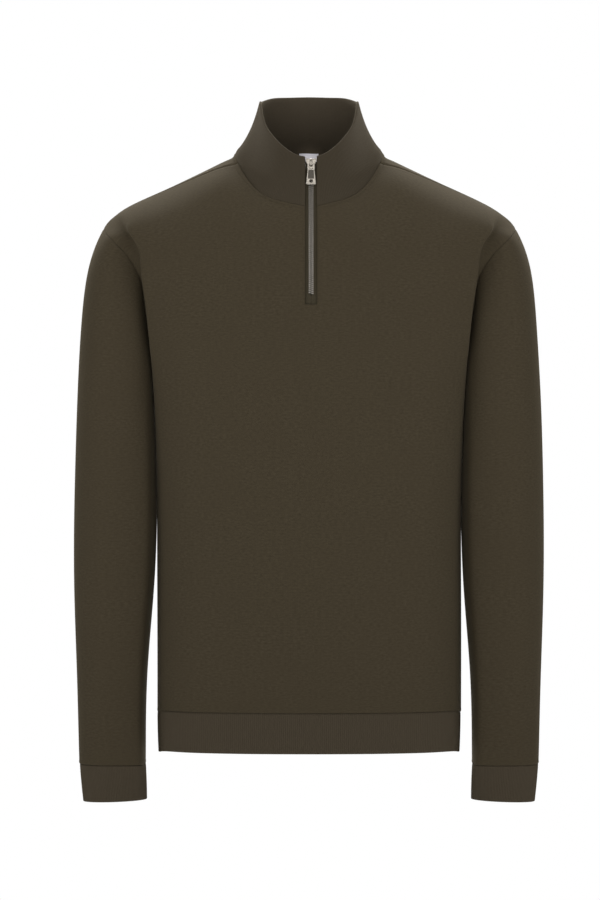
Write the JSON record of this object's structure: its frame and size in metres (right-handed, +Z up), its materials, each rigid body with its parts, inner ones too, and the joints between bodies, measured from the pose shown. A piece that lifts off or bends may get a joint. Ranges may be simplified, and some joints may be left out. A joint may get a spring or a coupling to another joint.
{
  "type": "half zip sweatshirt",
  "caption": "Hollow worn half zip sweatshirt with ribbed stand collar, cuffs and hem band, and a metal front zip whose pull tab swings.",
  "frame": {"origin": "on the wearer's middle line, level with the points where the collar meets the shoulders", "axes": "+Z up, -Y towards the front with the zip, +X towards the wearer's left arm"},
  "size_m": [0.5636, 0.2356, 0.8492],
  "materials": {
    "jersey": "brushed sweatshirt jersey, dark olive brown, matt with a soft nap",
    "rib": "fine rib knit, dark olive brown, matt",
    "tape": "woven zip tape, dark olive brown",
    "metal": "satin nickel-plated metal",
    "label": "white woven label, blank"
  },
  "bodies": {
    "garment": {"front_panel": "jersey", "back_panel": "jersey", "sleeve_left": "jersey", "sleeve_right": "jersey", "collar": "rib", "hem_band": "rib", "cuff_left": "rib", "cuff_right": "rib", "zip_tape_left": "tape", "zip_tape_right": "tape", "zip_chain": "metal", "zip_slider": "metal", "neck_label": "label"},
    "pull_tab": {"pull_tab": "metal"}
  },
  "joints": [
    {"name": "pull_tab_swing", "type": "hinge", "parent": "garment", "child": "pull_tab", "pos_m": [0.0022, -0.07705, -0.00833], "axis": [-1, 0, 0], "range_deg": [0, 140]}
  ]
}
